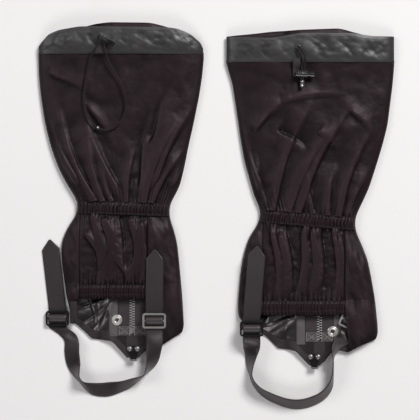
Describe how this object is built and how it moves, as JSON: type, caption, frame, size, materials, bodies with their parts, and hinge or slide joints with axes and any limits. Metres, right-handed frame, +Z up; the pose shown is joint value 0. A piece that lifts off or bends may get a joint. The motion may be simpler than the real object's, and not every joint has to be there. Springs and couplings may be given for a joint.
{
  "type": "hiking gaiters",
  "caption": "Pair of black coated-nylon hiking gaiters lying flat, heel side up, with drawcord tops, gathered ankles, front zips, lace hooks and adjustable foot straps.",
  "frame": {"origin": "centre of the pair's outline on the ground", "axes": "+X across the pair towards the second gaiter, +Y up the leg towards the top bands, +Z up off the ground"},
  "size_m": [0.5117, 0.5551, 0.0354],
  "materials": {
    "band_cloth": "PU-coated taffeta, soft sheen",
    "leg_cloth": "coated nylon taffeta, low sheen",
    "casing_cloth": "coated nylon, finely gathered",
    "coated_inside": "coated inner face, glossy",
    "matt_facing": "matt woven facing",
    "elastic": "woven elastic",
    "cord": "braided round cord",
    "tape": "flat woven tape, matt",
    "zip_tape": "woven zip tape",
    "zip_teeth": "moulded acetal teeth",
    "zip_metal": "black enamel",
    "stud_metal": "nickel plate",
    "hook_metal": "gunmetal plate",
    "webbing": "flat nylon webbing, smooth",
    "buckle_a": "moulded nylon adjuster",
    "buckle_b": "nickel-plated wire",
    "lock_plastic": "moulded acetal",
    "crimp": "cord end crimp"
  },
  "bodies": {
    "left_gaiter": {"left_band": "band_cloth", "left_cord_run": "cord", "left_calf_back": "leg_cloth", "left_calf_front": "leg_cloth", "left_waist_casing": "casing_cloth", "left_elastics": "elastic", "left_ankle_back": "casing_cloth", "left_ankle_sides": "leg_cloth", "left_heel_casing": "casing_cloth", "left_instep": "coated_inside", "left_facing": "matt_facing", "left_zip_tapes": "zip_tape", "left_zip_teeth": "zip_teeth", "left_stud_post": "stud_metal", "left_lace_hook": "hook_metal", "left_rivets": "stud_metal", "left_strap": "webbing", "left_tabs": "webbing", "left_lock_body": "lock_plastic", "left_lock_spring": "zip_metal", "left_lock_tab": "tape", "left_crimp": "crimp", "left_cord": "cord"},
    "left_zip_slider": {"left_zip_slider": "zip_metal"},
    "left_zip_puller": {"left_zip_puller": "zip_metal"},
    "left_flap": {"left_flap": "leg_cloth", "left_stud_cap": "stud_metal"},
    "left_buckle_a": {"left_buckle_a": "buckle_a"},
    "left_buckle_b": {"left_buckle_b": "buckle_b"},
    "left_lock_plunger": {"left_lock_plunger": "lock_plastic"},
    "right_gaiter": {"right_band": "band_cloth", "right_cord_run": "cord", "right_calf_back": "leg_cloth", "right_calf_front": "leg_cloth", "right_waist_casing": "casing_cloth", "right_elastics": "elastic", "right_ankle_back": "casing_cloth", "right_ankle_sides": "leg_cloth", "right_heel_casing": "casing_cloth", "right_instep": "coated_inside", "right_facing": "matt_facing", "right_zip_tapes": "zip_tape", "right_zip_teeth": "zip_teeth", "right_stud_post": "stud_metal", "right_lace_hook": "hook_metal", "right_rivets": "stud_metal", "right_strap": "webbing", "right_tabs": "webbing", "right_lock_body": "lock_plastic", "right_lock_spring": "zip_metal", "right_lock_tab": "tape", "right_crimp": "crimp", "right_cord": "cord"},
    "right_zip_slider": {"right_zip_slider": "zip_metal"},
    "right_zip_puller": {"right_zip_puller": "zip_metal"},
    "right_flap": {"right_flap": "leg_cloth", "right_stud_cap": "stud_metal"},
    "right_buckle_a": {"right_buckle_a": "buckle_a"},
    "right_buckle_b": {"right_buckle_b": "buckle_b"},
    "right_lock_plunger": {"right_lock_plunger": "lock_plastic"}
  },
  "joints": [
    {"name": "right_gaiter_place", "type": "slide", "parent": "left_gaiter", "child": "right_gaiter", "axis": [1, 0, 0], "range_m": [0, 0.1]},
    {"name": "left_zip_run", "type": "slide", "parent": "left_gaiter", "child": "left_zip_slider", "axis": [0, -1, 0], "range_m": [0, 0.413]},
    {"name": "left_puller_swing", "type": "hinge", "parent": "left_zip_slider", "child": "left_zip_puller", "pos_m": [-0.1212, 0.2519, 0.00275], "axis": [1, 0, 0], "range_deg": [0, 40]},
    {"name": "left_flap_open", "type": "hinge", "parent": "left_gaiter", "child": "left_flap", "pos_m": [-0.0972, 0, 0.0015], "axis": [0, -1, 0], "range_deg": [0, 150]},
    {"name": "left_buckle_a_tilt", "type": "hinge", "parent": "left_gaiter", "child": "left_buckle_a", "pos_m": [-0.2285, -0.147, 0.005], "axis": [1, 0, 0], "range_deg": [-7, 7]},
    {"name": "left_buckle_b_tilt", "type": "hinge", "parent": "left_gaiter", "child": "left_buckle_b", "pos_m": [-0.089, -0.1494, 0.0254], "axis": [1, 0, 0], "range_deg": [-7, 7]},
    {"name": "left_lock_press", "type": "slide", "parent": "left_gaiter", "child": "left_lock_plunger", "axis": [-0.9063, 0.4226, 0], "range_m": [0, 0.003], "stiffness_N_per_m": 1200, "springref_m": -0.002, "deforming": ["left_lock_spring"]},
    {"name": "right_zip_run", "type": "slide", "parent": "right_gaiter", "child": "right_zip_slider", "axis": [0, -1, 0], "range_m": [0, 0.415]},
    {"name": "right_puller_swing", "type": "hinge", "parent": "right_zip_slider", "child": "right_zip_puller", "pos_m": [0.1475, 0.2439, 0.00275], "axis": [1, 0, 0], "range_deg": [0, 40]},
    {"name": "right_flap_open", "type": "hinge", "parent": "right_gaiter", "child": "right_flap", "pos_m": [0.1235, 0, 0.0015], "axis": [0, 1, 0], "range_deg": [0, 150]},
    {"name": "right_buckle_a_tilt", "type": "hinge", "parent": "right_gaiter", "child": "right_buckle_a", "pos_m": [0.05, -0.161, 0.0246], "axis": [1, 0, 0], "range_deg": [-7, 7]},
    {"name": "right_buckle_b_tilt", "type": "hinge", "parent": "right_gaiter", "child": "right_buckle_b", "pos_m": [0.193, -0.152, 0.012], "axis": [0.9135, -0.4067, 0], "range_deg": [-7, 7]},
    {"name": "right_lock_press", "type": "slide", "parent": "right_gaiter", "child": "right_lock_plunger", "axis": [-0.9986, 0.0523, 0], "range_m": [0, 0.003], "stiffness_N_per_m": 1200, "springref_m": -0.002, "deforming": ["right_lock_spring"]}
  ]
}
